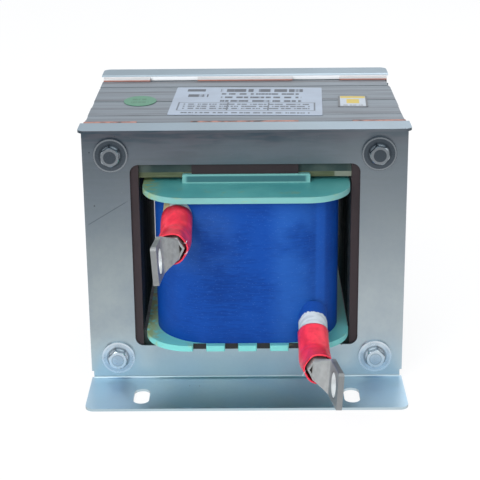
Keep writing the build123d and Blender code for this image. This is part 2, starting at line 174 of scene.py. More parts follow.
class Finish(Tree):
    """A material: a Principled shader, the place on the part in mm, and noise at real scale."""

    def __init__(self, name, **fixed):
        self.material = bpy.data.materials.new(name)
        super().__init__(self.material)
        inputs = {key.replace("_", " ").title(): given for key, given in fixed.items()}
        inputs = {key.replace("Ior", "IOR"): given for key, given in inputs.items()}
        shader = self.node("ShaderNodeBsdfPrincipled", {}, inputs)
        self.shader = shader.socket.node
        self.node("ShaderNodeOutputMaterial", {}, {"Surface": shader})
        metres = self.node("ShaderNodeTexCoord", output=3)
        self.place = self.vector("MULTIPLY", metres, (1 / MM, 1 / MM, 1 / MM))
        self.x, self.y, self.z = self.split(self.place)
        self.facing = self.split(self.node("ShaderNodeNewGeometry", output=3))

    def vector(self, operation, first, second):
        """One Vector Math node."""
        return self.node("ShaderNodeVectorMath", {"operation": operation}, {0: first, 1: second})

    def split(self, vector):
        """The three numbers of a vector."""
        parts = self.node("ShaderNodeSeparateXYZ", {}, {0: vector}).socket.node
        return [Value(self, output) for output in parts.outputs]

    def scaled(self, grain, shift):
        """The place measured in grains and moved by a shift; a grain may differ along X, Y and Z."""
        sizes = (grain, grain, grain) if isinstance(grain, (int, float)) else grain
        scaled = self.vector("MULTIPLY", self.place, tuple(1 / size for size in sizes))
        return self.vector("ADD", scaled, (shift, shift, shift))

    def noise(self, grain, detail=2.0, shift=0.0, distortion=0.0):
        """Noise from 0 to 1; grain is the size of its spots in mm, along X, Y and Z."""
        inputs = {
            "Vector": self.scaled(grain, shift), "Scale": 1.0, "Detail": detail, "Distortion": distortion,
        }
        return self.node("ShaderNodeTexNoise", {}, inputs)

    def cells(self, grain, shift=0.0):
        """Distance to the nearest of scattered points; grain is their spacing in mm."""
        return self.node("ShaderNodeTexVoronoi", {}, {"Vector": self.scaled(grain, shift), "Scale": 1.0})

    def near(self, coordinate, middle, half, soft):
        """1 where a coordinate is within half of the middle, fading over the distance soft."""
        return abs(coordinate - middle).rise(half + soft, half)

    def base(self, share, low, high):
        """Start the base colour with a blend of two colours."""
        self.tint = self.blend(share, low, high)

    def cover(self, share, colour):
        """Blend a colour over the base colour, by a share."""
        self.tint = self.blend(share, self.tint, colour)

    def wear(self, **varying):
        """Feed the base colour and other varying values to the shader's sockets."""
        self.join(self.tint, self.shader.inputs["Base Color"])
        for key, value in varying.items():
            self.join(value, self.shader.inputs[key.title()])

    def relief(self, height, distance):
        """Bump: height from 0 to 1 stands for a distance in mm."""
        bump = self.node("ShaderNodeBump", {}, {"Strength": 1.0, "Distance": distance * MM, "Height": height})
        self.join(bump, self.shader.inputs["Normal"])

    def dress(self, *names):
        """Give this finish to CAD nodes."""
        for name in names:
            mesh = frame["nodes"][name].data
            if not mesh.materials:
                mesh.materials.append(self.material)
            for index in range(len(mesh.materials)):
                mesh.materials[index] = self.material


# ---------------- what a user would change
def colour(name, description, default):
    """A colour property."""
    return FloatVectorProperty(
        name=name, description=description, default=default, subtype="COLOR", min=0.0, max=1.0
    )


def share(name, description, default):
    """A property from 0 to 1."""
    return FloatProperty(name=name, description=description, default=default, min=0.0, max=1.0)


def direction(name, description, default):
    """A direction property."""
    return FloatVectorProperty(name=name, description=description, default=default, subtype="DIRECTION")


def angle(name, description, degrees):
    """An angle property."""
    return FloatProperty(
        name=name, description=description, default=radians(degrees), subtype="ANGLE", unit="ROTATION"
    )


class PlateSettings(PropertyGroup):
    """Zinc-plated brackets."""

    zinc: colour("Zinc", "Plated sheet", (0.54, 0.62, 0.64))
    cloud: colour("Cloud", "Duller clouds in the plating", (0.40, 0.48, 0.56))
    # painted dark reflection high on the upright plates
    painted_dark_top: colour("Dull", "Plating high on the upright plates", (0.26, 0.31, 0.36))
    # painted light reflection low on the upright plates
    low: colour("Low", "Plating low on the upright plates", (0.60, 0.80, 0.89))
    foot: colour("Foot", "Plating on the feet", (0.56, 0.74, 0.90))
    roughness: share("Roughness", "Roughness of the plated sheet", 0.30)
    # painted dark reflection: darkens the upper bolts and washers
    painted_dark_reflection: colour("Smoke", "Upper bolts and washers", (0.13, 0.16, 0.19))
    bolt: colour("Bolt", "Plated bolts and nuts", (0.62, 0.72, 0.80))
    washer: colour("Washer", "Plated washers", (0.70, 0.80, 0.88))


class CoreSettings(PropertyGroup):
    """Laminated core."""

    steel: colour("Steel", "Cut edges of the sheets", (0.265, 0.298, 0.338))
    seam: colour("Seam", "Varnish between the sheets", (0.125, 0.12, 0.13))
    bright: colour("Bright", "Where the varnish is rubbed off", (0.38, 0.42, 0.47))
    # also the painted shade on the sides within the windows
    varnish: colour("Varnish", "Varnished faces", (0.024, 0.045, 0.044))


class BoardSettings(PropertyGroup):
    """Boards of the bobbin, strips and the gap sheet."""

    green: colour("Green", "Face of the glass-laminate boards", (0.075, 0.38, 0.39))
    green_light: colour("Light green", "Paler clouds on the glass-laminate boards", (0.12, 0.48, 0.47))
    edge: colour("Cut edge", "Cut edges of the glass-laminate boards", (0.17, 0.42, 0.40))
    # painted shade in the middle of a standing board
    shadow: colour("Shadow", "Where a dark piece shows through a standing board", (0.018, 0.10, 0.12))
    resin: colour("Resin", "Dried resin on the boards", (0.30, 0.38, 0.14))
    brown: colour("Brown", "Face of the insulating strips", (0.021, 0.014, 0.017))
    brown_light: colour("Light brown", "Paler fibres of the insulating strips", (0.044, 0.028, 0.030))
    brown_edge: colour("Brown edge", "Sawn top edge of the insulating strips", (0.52, 0.23, 0.18))
    olive: colour("Olive", "Gap sheet", (0.065, 0.082, 0.040))
    olive_light: colour("Light olive", "Paler layers of the gap sheet", (0.11, 0.13, 0.07))


class CoilSettings(PropertyGroup):
    """Coil and its film wrap."""

    blue: colour("Blue", "Film wrap", (0.003, 0.058, 0.315))
    # the film's darker random tone, and also the painted shade at its top and bottom
    deep_and_shade: colour("Deep blue", "Film wrap where it lies tight", (0.001, 0.036, 0.22))
    copper: colour("Copper", "Winding", (0.60, 0.28, 0.15))


class LeadSettings(PropertyGroup):
    """Leads and lugs."""

    red: colour("Red", "Heat-shrink sleeve", (0.96, 0.042, 0.082))
    red_dark: colour("Dark red", "Thicker places of the sleeve", (0.66, 0.020, 0.050))
    tin: colour("Tin", "Tinned lug", (0.56, 0.575, 0.565))
    tin_dull: colour("Dull tin", "Duller clouds of the tinning", (0.44, 0.45, 0.445))
    tape: colour("Tape", "Glass tape", (0.62, 0.68, 0.72))
    tape_grey: colour("Grey tape", "Shaded turns of the glass tape", (0.36, 0.42, 0.46))
    paper_tan: colour("Tan", "Tan paper beside the upper lead's root", (0.42, 0.35, 0.20))
    wire: colour("Wire", "Enamel of the winding wire", (0.42, 0.33, 0.18))
    strand: colour("Strand", "Ends of the strands", (0.34, 0.29, 0.26))
    upper_out: direction("Upper way out", "Direction of the upper lead at the coil", (-0.02, -1.0, -0.36))
    upper_run: direction("Upper run", "Direction of the upper lug", (-0.05, -1.0, 0.115))
    lower_out: direction("Lower way out", "Direction of the lower lead at the coil", (0.0, -1.0, -0.57))
    lower_run: direction("Lower run", "Direction of the lower lug", (0.115, -1.0, 0.12))


class LabelSettings(PropertyGroup):
    """Labels on top."""

    white: colour("White", "Rating label", (0.46, 0.54, 0.66))
    white_shade: colour("White shade", "Shaded parts of the papers", (0.37, 0.42, 0.51))
    green: colour("Green", "Oval sticker", (0.10, 0.29, 0.18))
    green_shade: colour("Green shade", "Shaded parts of the oval sticker", (0.085, 0.25, 0.16))
    yellow: colour("Yellow", "Fields of the square sticker", (0.72, 0.54, 0.09))
    print_grey: colour("Print", "Rules and plain blocks on the labels", (0.030, 0.035, 0.055))


class StageSettings(PropertyGroup):
    """Floor, light and camera."""

    lens: FloatProperty(
        name="Lens", description="Focal length in mm", default=100.37, min=10.0, unit="CAMERA"
    )
    place: FloatVectorProperty(
        name="Camera place", description="Where the camera stands", default=(0.00349, -0.77474, 0.34718),
        subtype="TRANSLATION", unit="LENGTH", precision=5,
    )
    pitch: angle("Pitch", "How far the camera looks down", 17.876)
    yaw: angle("Yaw", "Turn of the camera to the left", 0.509)
    roll: angle("Roll", "Turn of the camera about its own axis", -0.576)
    shift: FloatProperty(name="Shift", description="Vertical lens shift", default=-0.10)
    lamp_power: FloatProperty(
        name="Lamp", description="Power of the main soft lamp", default=8.5, unit="POWER"
    )


class ReactorSettings(PropertyGroup):
    """All settings of the DC reactor."""

    plate: PointerProperty(type=PlateSettings, name="Plate", description="Brackets")
    core: PointerProperty(type=CoreSettings, name="Core", description="Laminated core")
    board: PointerProperty(type=BoardSettings, name="Board", description="Bobbin boards and strips")
    coil: PointerProperty(type=CoilSettings, name="Coil", description="Coil and wrap")
    lead: PointerProperty(type=LeadSettings, name="Lead", description="Leads and lugs")
    label: PointerProperty(type=LabelSettings, name="Label", description="Labels")
    stage: PointerProperty(type=StageSettings, name="Stage", description="Floor, light and camera")


# ---------------- finishes
def zinc_plate(settings):
    """Zinc-plated sheet: satin, with a faint spangle, specks and scratches; painted shade and dark reflection
    towards the top of the upright plates, painted light reflection low down and on the right, painted lighter
    ends of the feet, and a painted glint on the rear bend.
    """
    finish = Finish("zinc plate", metallic=1.0)
    top = in_mm(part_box("front_bracket"))[1].z
    clouds = finish.noise(30.0, 3.0).rise(0.30, 0.70)
    spangle = finish.noise(2.2, 2.0, 7.0).rise(0.30, 0.75)
    rolling = finish.noise((160.0, 40.0, 0.9), 2.0, 3.0)
    upright = abs(finish.facing[1]).rise(0.5, 0.8)
    # painted shade: the upright plates darken towards the top, standing in for a dark reflection
    painted_dark_top = finish.z.rise(top * 0.30, top - 4.0) * upright
    # painted shade and dark reflection in a streaked band under the top flange
    painted_shade_band = finish.near(finish.z, top - 7.0 + clouds * 6.0, 2.0, 9.0) * upright
    finish.base(clouds * 0.45 + spangle * 0.15, settings.zinc, settings.cloud)
    finish.cover(painted_dark_top * 0.70, settings.painted_dark_top)
    streaks = finish.noise((26.0, 26.0, 3.0), 3.0, 12.0, 0.6).rise(0.35, 0.65)
    painted_dark_reflection = finish.blend(streaks, (0.11, 0.18, 0.24), (0.23, 0.18, 0.21))
    finish.cover(painted_shade_band * 0.65, painted_dark_reflection)
    finish.cover(streaks * painted_dark_top * 0.32, (0.44, 0.50, 0.58))
    # painted reflection: the upright plates lighten towards their foot
    finish.cover(finish.z.rise(34.0, 6.0) * upright * 0.6, settings.low)
    lying = abs(finish.facing[2]).rise(0.5, 0.8)
    ends = abs(finish.x).rise(45.0, 85.0)
    foot = lying * finish.z.rise(30.0, 10.0)
    # painted reflection: the feet lighten towards their ends; the clouds in the same share differ at random
    finish.cover(foot * (clouds * 0.30 + ends * 0.35 + 0.25), settings.foot)
    finish.cover(lying * finish.z.rise(10.0, 30.0) * 0.75, settings.cloud)
    # painted reflection: the upright plates lighten towards the right
    finish.cover(finish.x.rise(25.0, 75.0) * upright * 0.30, (0.72, 0.80, 0.84))
    core_top = in_mm(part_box("i_yoke_stack"))[1].z
    inner_y = in_mm(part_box("rear_left_strip"))[1].y
    # painted highlight: a pale, non-metallic band on the rear plate's inner face just above the core stands
    # in for the glint of its bend
    bend = finish.z.rise(core_top - 0.6, core_top) * finish.near(finish.y, inner_y, 0.8, 0.4)
    finish.cover(bend, (0.80, 0.82, 0.84))
    specks = finish.cells(11.0, 4.0).rise(0.050, 0.030)
    dust = finish.cells(5.0, 9.0).rise(0.045, 0.020) * 0.35
    finish.cover(specks * 0.65, (0.08, 0.085, 0.09))
    finish.cover(dust, (0.86, 0.90, 0.94))
    finish.cover(scratch(finish) * 0.55, (0.15, 0.18, 0.22))
    finish.wear(
        roughness=settings.roughness + spangle * 0.03 + clouds * 0.06 + rolling * 0.04,
        metallic=1.0 - bend,
    )
    finish.relief(clouds * 0.6 + rolling * 0.4, 0.03)
    return finish


def scratch(finish):
    """One long fine scratch on the left of an upright plate, slanting up to the right."""
    low, high = in_mm(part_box("front_bracket"))
    aside = (finish.x - (low.x + 2.0)) * 0.52 + (finish.z - (high.z - 60.0)) * -0.85
    start = finish.x.rise(low.x + 1.0, low.x + 3.0)
    stop = finish.x.rise(low.x + 26.0, low.x + 22.0)
    return finish.near(aside + 0.3 * finish.noise(9.0), 0.0, 0.12, 0.28) * start * stop


def plated_hardware(settings, name, metal):
    """Plated bolts, washers and nuts: smooth, with painted dark reflection on the upper ones, and painted
    shade rings and painted highlight rings round each bolt.
    """
    finish = Finish(name, metallic=1.0)
    low, high = in_mm(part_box("front_washers"))
    bolt_x = high.x - WASHER_RADIUS
    lower_z, upper_z = low.z + WASHER_RADIUS, high.z - WASHER_RADIUS
    across = abs(abs(finish.x) - bolt_x)
    up = abs(finish.z - lower_z).smaller(abs(finish.z - upper_z))
    radius = (across * across + up * up) ** 0.5
    cloud = finish.noise(7.0, 2.0, 2.0).rise(0.30, 0.70)
    turning = finish.noise((30.0, 0.5, 30.0), 1.0, 5.0)
    finish.base(cloud * 0.5, metal, settings.cloud)
    # painted dark reflection: the upper bolts and washers darken
    painted_dark_above = finish.z.rise(lower_z + 20.0, upper_z)
    finish.cover(painted_dark_above * 0.85, settings.painted_dark_reflection)
    # painted shade: a dark ring at the foot of each head and a fainter one on its face
    painted_head_shadow = finish.near(radius, 6.2, 0.3, 0.5)
    shade = (finish.near(radius, 3.5, 0.15, 0.4) * 0.6).larger(painted_head_shadow)
    finish.cover(shade * 0.50, (0.08, 0.10, 0.12))
    # painted highlights: bright rings on each head's chamfer and on the washers' outer edge
    painted_chamfer_highlight = finish.near(radius, 4.5, 0.7, 0.5)
    bright = finish.near(radius, WASHER_RADIUS - 0.6, 0.25, 0.35).larger(painted_chamfer_highlight)
    finish.cover(bright * 0.65, (0.86, 0.92, 0.96))
    finish.wear(roughness=0.20 + cloud * 0.06 + turning * 0.05)
    return finish


def core_steel(settings):
    """Cut edges of the sheets on top, varnished faces, and sides within the windows darkened with the varnish
    colour as painted shade, with bright streaks.
    """
    finish = Finish("core steel")
    sheets = finish.noise((400.0, 0.50, 400.0), 2.0)
    packs = finish.noise((900.0, 6.5, 900.0), 1.0, 5.0)
    smears = finish.noise((38.0, 1.1, 38.0), 3.0, 9.0)
    tone = sheets * 0.35 + packs * 0.35 + smears * 0.30
    cut = finish.blend(tone.rise(0.34, 0.56), settings.seam, settings.steel)
    cut = finish.blend(smears.rise(0.52, 0.72) * 0.55, cut, settings.bright)
    seams = packs.rise(0.40, 0.34) * sheets.rise(0.55, 0.40)
    cut = finish.blend(seams * 0.8, cut, settings.seam)
    low, high = in_mm(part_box("winding"))
    reach = max(abs(low.x), abs(high.x)) + 12.0
    # painted shade: the sides within the windows take the dark varnish colour; the bright streaks over it are
    # the sheet edges
    inside = abs(finish.facing[0]).rise(0.5, 0.8) * abs(finish.x).rise(reach, reach - 2.0)
    streak = finish.noise((400.0, 0.9, 90.0), 2.0, 2.0).rise(0.54, 0.62)
    dark = finish.blend(streak * 0.8, settings.varnish, settings.bright)
    finish.base(inside, cut, dark)
    end_face = abs(finish.facing[1]).rise(0.5, 0.8)
    grimy = finish.blend(finish.noise(14.0, 4.0).rise(0.4, 0.7), settings.varnish, (0.060, 0.085, 0.075))
    finish.cover(end_face, grimy)
    finish.wear(
        roughness=0.40 + smears * 0.2 + inside * 0.45,
        metallic=0.45 - end_face * 0.45 - inside * 0.30,
    )
    finish.relief(sheets, 0.05)
    return finish


def phenolic(settings):
    """Dark brown strip with a sawn, orange-red top edge, and a painted highlight, reddish then white, where
    it stands up above the core at the rear.
    """
    finish = Finish("phenolic")
    mottle = finish.noise(6.0, 4.0)
    grain = finish.noise((3.0, 3.0, 40.0), 3.0, 4.0)
    top = in_mm(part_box("front_left_strip"))[1].z
    sawn = finish.facing[2].rise(0.5, 0.8) * finish.z.rise(top - 1.0, top - 0.2)
    side = abs(finish.facing[0]).rise(0.5, 0.8)
    finish.base(mottle * 0.5 + grain * 0.3, settings.brown, settings.brown_light)
    finish.cover(side * 0.5, (0.10, 0.055, 0.05))
    patchy = finish.noise(5.0, 3.0, 8.0).rise(0.30, 0.62)
    finish.cover(sawn, finish.blend(patchy, settings.brown, settings.brown_edge))
    # painted highlight: above the core at the rear, reddish low and white higher, standing in for the bright
    # bend of the rear bracket
    core_top = in_mm(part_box("i_yoke_stack"))[1].z
    rear = finish.z.rise(core_top - 0.1, core_top + 0.2) * finish.y.rise(0.0, 1.0)
    height = finish.z.rise(core_top + 0.6, core_top + 1.0)
    finish.cover(rear * 0.85, finish.blend(height, settings.brown_edge, (0.80, 0.80, 0.80)))
    finish.wear(roughness=0.40 + mottle * 0.15)
    finish.relief(grain, 0.03)
    return finish


def gap_board(settings):
    """Olive insulating sheet in the air gap, with a paler, greyer stretch."""
    finish = Finish("gap board")
    layers = finish.noise((14.0, 14.0, 0.45), 2.0)
    finish.base(layers.rise(0.35, 0.65), settings.olive, settings.olive_light)
    beside_coil = in_mm(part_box("coil_wrap"))[1].x + 2.8
    grey = finish.near(finish.x, beside_coil, 5.0, 1.0)
    finish.cover(grey * 0.7, (0.24, 0.26, 0.22))
    finish.wear(roughness=0.5 + layers * 0.1)
    finish.relief(layers, 0.03)
    return finish


def green_board(settings, name, standing):
    """Glass laminate: teal faces with pale cut edges."""
    finish = Finish(name, coat_weight=0.15, coat_roughness=0.2)
    weave = finish.noise(1.3, 2.0)
    shade = finish.noise(26.0, 3.0).rise(0.30, 0.70)
    upright = abs(finish.facing[2]).rise(0.7, 0.4)
    edge = 1.0 - upright if standing else upright
    if standing:
        tab_tint(finish, settings, edge)
    else:
        finish.base(shade, settings.green, settings.green_light)
        finish.cover(weave.rise(0.45, 0.75) * 0.12, settings.edge)
        lying_tint(finish, settings, edge)
    finish.wear(roughness=0.36 + weave * 0.10 + edge * 0.12)
    finish.relief(weave * 0.5 + shade * 0.5, 0.03)
    return finish


def tab_tint(finish, settings, edge):
    """A standing board: painted shade over its middle, pale along its edges and its foot."""
    low, high = in_mm(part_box("tube_front_board"))
    half = (high.x - low.x) / 2
    inner_x = abs(finish.x - (low.x + high.x) / 2).rise(half - 1.2, half - 3.4)
    inner_z = finish.z.rise(high.z - 0.5, high.z - 1.5)
    foot = in_mm(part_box("upper_flange_board"))[1].z
    foot_z = finish.z.rise(foot + 0.3, foot + 1.0)
    # painted shade: the middle of the board, away from its edges and foot, darkens
    finish.base(inner_x * inner_z * foot_z * 0.85, settings.edge, settings.shadow)
    finish.cover(edge, settings.edge)


def lying_tint(finish, settings, edge):
    """A flange board: paler rim, resin stains, and painted shade on the back walls of the lower board's
    notches.
    """
    low, high = in_mm(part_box("upper_flange_board"))
    reach, depth = (high.x - low.x) / 2, (high.y - low.y) / 2
    across = abs(finish.x - (low.x + high.x) / 2)
    rim = across.rise(reach - 2.5, reach).larger(abs(finish.y).rise(depth - 2.5, depth))
    finish.cover(rim * 0.35, settings.edge)
    finish.cover(edge, settings.edge)
    lower_board = finish.z.rise(low.z - 20.0, low.z - 30.0)
    finish.cover(lower_board * 0.85, (0.17, 0.60, 0.57))
    # painted shade in the notches of the lower board
    painted_notch_shade = abs(finish.facing[1]).rise(0.6, 0.9) * abs(finish.y).rise(depth - 1.5, depth - 2.5)
    between = across.rise(reach - 22.0, reach - 26.0) * lower_board
    finish.cover(painted_notch_shade * between, (0.006, 0.008, 0.010))
    stain = finish.noise(4.0, 4.0, 11.0).rise(0.38, 0.54)
    left = finish.x.rise(low.x + 13.0, low.x + 1.0)
    finish.cover(stain * left * 0.9, settings.resin)
    front = finish.y.rise(low.y + 24.0, low.y + 6.0)
    drip = finish.noise((9.0, 9.0, 3.0), 3.0, 4.0).rise(0.60, 0.68) * front
    finish.cover(drip * 0.30, settings.resin)


def blue_film(settings):
    """Polyester film drawn tight over the coil: deep blue, with fine fibres, a painted sheen, a painted
    reflection band, a painted highlight at the upper left, and painted shade at its top and bottom.
    """
    finish = Finish("blue film", specular_ior_level=0.15)
    patches = finish.noise(30.0, 3.0)
    fibres = finish.noise((7.0, 7.0, 0.9), 4.0, 3.0)
    fine = finish.noise((2.4, 2.4, 0.6), 3.0, 6.0)
    shade = patches * 0.50 + fibres * 0.35 + fine * 0.15
    finish.base(shade.rise(0.32, 0.60) * 0.9 + 0.02, settings.deep_and_shade, settings.blue)
    finish.cover(fine.rise(0.60, 0.78) * 0.30, (0.035, 0.13, 0.42))
    low, high = in_mm(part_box("coil_wrap"))
    # painted reflection: a lighter upright band near the coil's right edge
    painted_reflection_band = finish.near(finish.x + 0.5 * fibres, high.x - 11.0, 1.6, 2.2)
    finish.cover(painted_reflection_band * 0.45, (0.012, 0.11, 0.50))
    # painted sheen: a lighter stretch towards the right where the film curves round the corner
    painted_sheen = finish.near(finish.x, high.x - 26.0, 5.0, 12.0) * patches.rise(0.30, 0.60)
    finish.cover(painted_sheen * 0.30, (0.035, 0.16, 0.50))
    # painted highlight: a lighter patch at the upper left of the coil's face
    corner_x = finish.near(finish.x, low.x + 24.0, 6.0, 22.0)
    corner_z = finish.near(finish.z, high.z - 22.0, 6.0, 20.0)
    finish.cover(corner_x * corner_z * patches.rise(0.25, 0.60) * 0.35, (0.055, 0.16, 0.42))
    flecks = finish.cells((2.2, 2.2, 1.3), 5.0).rise(0.16, 0.08)
    finish.cover(flecks * 0.22, (0.12, 0.28, 0.58))
    # painted shade: the film darkens towards the coil's top and bottom
    ends = abs(finish.z - (low.z + high.z) / 2).rise(30.0, (high.z - low.z) / 2)
    finish.cover(ends * 0.45, settings.deep_and_shade)
    finish.wear(roughness=0.42 + fibres * 0.12)
    finish.relief(fibres * 0.5 + patches * 0.5, 0.10)
    return finish


def simple_finish(name, grain, colours, roughness, detail=2.0, relief=0.0, **fixed):
    """A finish whose one noise blends two colours and moves the roughness between two values."""
    finish = Finish(name, **fixed)
    cloud = finish.noise(grain, detail)
    low, high = roughness
    finish.base(cloud, *colours)
    finish.wear(roughness=low + cloud * (high - low))
    if relief:
        finish.relief(cloud, relief)
    return finish


def red_sleeve(settings):
    """Heat-shrink sleeve: red, satin, faintly uneven, lighter where it is stretched."""
    finish = Finish("red sleeve", specular_ior_level=0.45, coat_weight=0.25, coat_roughness=0.30)
    uneven = finish.noise(6.0, 3.0)
    fine = finish.noise(1.2, 3.0, 4.0)
    finish.base(uneven.rise(0.35, 0.70), settings.red, settings.red_dark)
    finish.cover(fine.rise(0.60, 0.80) * 0.25, (0.82, 0.10, 0.13))
    finish.wear(roughness=0.30 + uneven * 0.12)
    finish.relief(uneven * 0.8 + fine * 0.2, 0.14)
    return finish


def tinned_copper(settings):
    """Tinned lug: soft grey metal with handling marks, painted shade on the lower lug and round each hole's
    rim, and a painted highlight on each hole's wall.
    """
    finish = Finish("tinned copper", metallic=0.55)
    cloud = finish.noise(3.0, 3.0)
    marks = finish.noise((6.0, 0.7, 6.0), 3.0, 5.0)
    rim, painted_hole_glint = 0.0, 0.0
    for mount in frame["record"]["mounts"]:
        if mount["name"].endswith("lug_hole"):
            ends = {0: finish.place, 1: tuple(place / MM for place in mount["pos_m"])}
            gap = finish.node("ShaderNodeVectorMath", {"operation": "DISTANCE"}, ends, 1)
            reach = mount["dims"]["r_mm"]
            # painted shade round each hole's rim and a painted highlight on its wall
            rim = finish.near(gap, reach + 0.55, 0.15, 0.45) + rim
            painted_hole_glint = gap.rise(reach + 0.20, reach + 0.10) + painted_hole_glint
    finish.base(cloud.rise(0.30, 0.7), settings.tin, settings.tin_dull)
    finish.cover(marks.rise(0.62, 0.75) * 0.5, (0.25, 0.26, 0.26))
    between = (in_mm(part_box("upper_lug"))[0].z + in_mm(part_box("lower_lug"))[1].z) / 2
    # painted shade: the lower lug is darker than the upper
    finish.cover(finish.z.rise(between + 1.0, between - 1.0) * 0.45, (0.36, 0.37, 0.37))
    sleeve_end = in_mm(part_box("lower_heat_shrink"))[0].y
    palm = finish.y.rise(sleeve_end - 10.0, sleeve_end - 14.0)
    finish.cover(palm * 0.75, (0.24, 0.25, 0.255))
    # painted shade at the hole rims, then a painted highlight on the hole walls
    finish.cover(rim * 0.6, (0.16, 0.17, 0.17))
    finish.cover(painted_hole_glint * 0.8, (0.85, 0.88, 0.88))
    finish.wear(roughness=0.30 + cloud * 0.14)
    finish.relief(cloud, 0.04)
    return finish


def lead_tape(settings, film):
    """Woven glass tape in overlapping turns; its root lies under the torn edge of the film."""
    finish = Finish("glass tape", specular_ior_level=0.3)
    weave = finish.noise(0.9, 1.0)
    turns = finish.noise((12.0, 1.8, 12.0), 2.0, 3.0)
    finish.base(turns.rise(0.35, 0.65) * 0.6 + weave * 0.25, settings.tape, settings.tape_grey)
    low, high = in_mm(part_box("upper_tape_root"))
    middle = (low.x + high.x) / 2
    tan_side = finish.x.rise(middle - 3.2, middle - 4.2) * finish.z.rise(low.z - 4.0, low.z)
    finish.cover(tan_side, settings.paper_tan)
    front = in_mm(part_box("coil_wrap"))[0].y
    torn = finish.noise(2.6, 3.0, 6.0) * 5.0 + finish.z * 0.25
    root_top = in_mm(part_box("lower_tape_root"))[1].z
    covered = (finish.y + torn).rise(front - 1.6 + root_top * 0.25, front - 1.0 + root_top * 0.25)
    finish.cover(covered * finish.z.rise(root_top + 6.0, root_top + 2.0), film.blue)
    finish.wear(roughness=0.65 + weave * 0.15)
    finish.relief(turns * 0.7 + weave * 0.3, 0.20)
    return finish


def tan_wire(settings):
    """Enamelled wire, with painted shade towards its tip in the barrel."""
    finish = Finish("tan wire")
    cloud = finish.noise(2.0, 3.0)
    finish.base(cloud, settings.wire, (0.28, 0.20, 0.10))
    tip = in_mm(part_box("upper_conductor"))[0].y
    # painted shade inside the barrel
    finish.cover(finish.y.rise(tip + 12.6, tip + 8.6), (0.030, 0.026, 0.024))
    finish.wear(roughness=0.4 + cloud * 0.2)
    return finish


class Print:
    """Plain printed marks on a label: places in mm from its centre, along its own turn."""

    def __init__(self, finish, node, turn):
        low, high = in_mm(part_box(node))
        self.finish = finish
        across = finish.x - (low.x + high.x) / 2
        back = finish.y - (low.y + high.y) / 2
        self.u = across * cos(turn) + back * sin(turn)
        self.v = back * cos(turn) - across * sin(turn)

    def block(self, u, v, half_u, half_v, soft=0.25):
        """A filled block."""
        finish = self.finish
        return finish.near(self.u, u, half_u, soft) * finish.near(self.v, v, half_v, soft)

    def outline(self, half_u, half_v, line):
        """A rectangle drawn with a line."""
        inner = self.block(0.0, 0.0, half_u - line, half_v - line)
        return self.block(0.0, 0.0, half_u, half_v) * (1.0 - inner)

    def dashes(self, u, v, half_u, half_v, dash):
        """A row of broken dashes in the place of small print."""
        inputs = {"W": self.u / dash + v, "Scale": 1.0, "Detail": 2.0}
        gaps = self.finish.node("ShaderNodeTexNoise", {"noise_dimensions": "1D"}, inputs)
        return self.block(u, v, half_u, half_v) * gaps.rise(0.40, 0.50)


def rating_paper(settings):
    """The rating label: a title bar, a table of rules and rows of dashes, with no words."""
    finish = Finish("rating paper", coat_weight=0.3, coat_roughness=0.25)
    marks = Print(finish, "rating_label", radians(-2.5))
    ink = (marks.dashes(8.0, 25.5, 25.0, 3.6, 5.0) * 1.3).smaller(1.0)
    ink = ink.larger(marks.block(-32.0, 25.5, 5.4, 3.0))
    ink = ink.larger(marks.dashes(-31.0, 12.0, 7.0, 3.2, 3.0))
    for v, half in ((16.5, 1.7), (8.0, 1.9), (-1.0, 2.0)):
        ink = ink.larger(marks.dashes(8.0, v, 24.0, half, 3.2))
    for v in (-9.0, -14.0, -19.0, -29.0):
        ink = ink.larger(marks.dashes(0.0, v, 37.0, 1.2, 2.6) * 0.9)
    for v in (-5.0, -23.5):
        ink = ink.larger(marks.block(0.0, v, 40.0, 0.30) * 0.8)
    for u in (-40.0, -11.0, 13.0, 40.0):
        ink = ink.larger(marks.block(u, -14.0, 0.35, 9.5) * 0.8)
    cloud = finish.noise(16.0, 3.0)
    paper = finish.blend(cloud.rise(0.3, 0.7) * 0.5, settings.white, settings.white_shade)
    finish.base(ink * 0.92, paper, settings.print_grey)
    finish.wear(roughness=0.36 + cloud * 0.1)
    return finish


def oval_paper(settings):
    """The oval sticker: green with two rows of darker dashes."""
    finish = Finish("oval paper", coat_weight=0.2, coat_roughness=0.3)
    marks = Print(finish, "oval_sticker", 0.0)
    ink = marks.dashes(0.0, 3.2, 4.6, 1.7, 1.8).larger(marks.dashes(0.0, -3.4, 5.0, 1.5, 1.4))
    cloud = finish.noise(5.0, 3.0)
    paper = finish.blend(cloud * 0.4, settings.green, settings.green_shade)
    finish.base(ink * 0.85, paper, (0.05, 0.17, 0.10))
    finish.wear(roughness=0.4 + cloud * 0.1)
    return finish


def square_paper(settings):
    """The square sticker: white with a dark frame and plain yellow fields."""
    finish = Finish("square paper", coat_weight=0.2, coat_roughness=0.3)
    marks = Print(finish, "square_sticker", radians(-3.0))
    cloud = finish.noise(5.0, 3.0)
    paper = finish.blend(cloud * 0.4, (0.64, 0.70, 0.76), settings.white_shade)
    field = marks.block(0.0, 9.4, 7.2, 2.2).larger(marks.block(0.0, -0.5, 3.6, 5.0))
    paper = finish.blend(field, paper, settings.yellow)
    ink = marks.outline(8.7, 13.1, 1.3).larger(marks.dashes(0.0, -10.0, 5.6, 0.9, 1.8) * 0.7)
    finish.base(ink * 0.85, paper, (0.05, 0.05, 0.055))
    finish.wear(roughness=0.4 + cloud * 0.1)
    return finish


